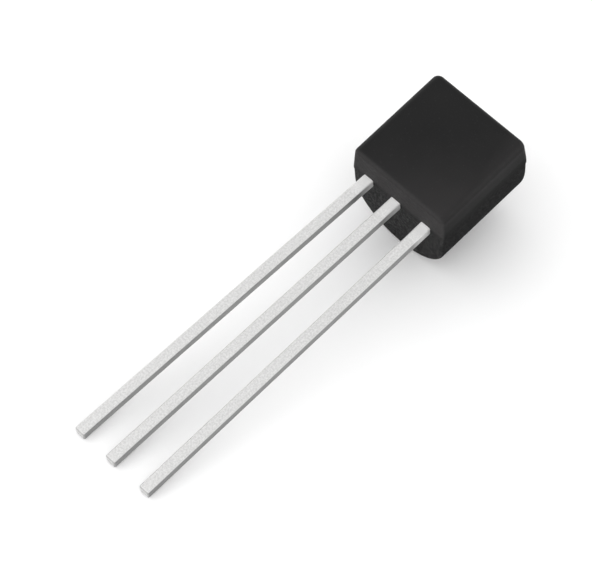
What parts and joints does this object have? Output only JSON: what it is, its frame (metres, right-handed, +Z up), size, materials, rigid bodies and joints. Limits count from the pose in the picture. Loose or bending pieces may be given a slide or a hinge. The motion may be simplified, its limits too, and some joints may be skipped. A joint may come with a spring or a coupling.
{
  "type": "to-92 transistor",
  "caption": "Small transistor: a black D-shaped moulded body with a flat face and a round back, and straight tinned leads that leave one end in a row.",
  "frame": {"origin": "on the surface that the part lies on, under the middle of its box in x and y", "axes": "+X across the flat face, from the emitter lead to the collector lead; +Y along the part on the level, from the lead tips to the body; +Z up. The part lies at rest on the lower edge of its round back and its lead tips, so the leads rise 11.5 degrees from the tips to the body, and the flat face looks up, leaning 11.5 degrees towards the tips"},
  "size_m": [0.0042, 0.0178, 0.0049],
  "materials": {
    "epoxy": "matte",
    "tinned_metal": "satin",
    "attach": "matte",
    "silicon": "gloss",
    "gold": "satin"
  },
  "bodies": {
    "root": {"package_body": "epoxy", "emitter_lead": "tinned_metal", "base_lead": "tinned_metal", "collector_lead": "tinned_metal", "die_attach": "attach", "silicon_die": "silicon", "emitter_bond_wire": "gold", "base_bond_wire": "gold"}
  },
  "joints": []
}
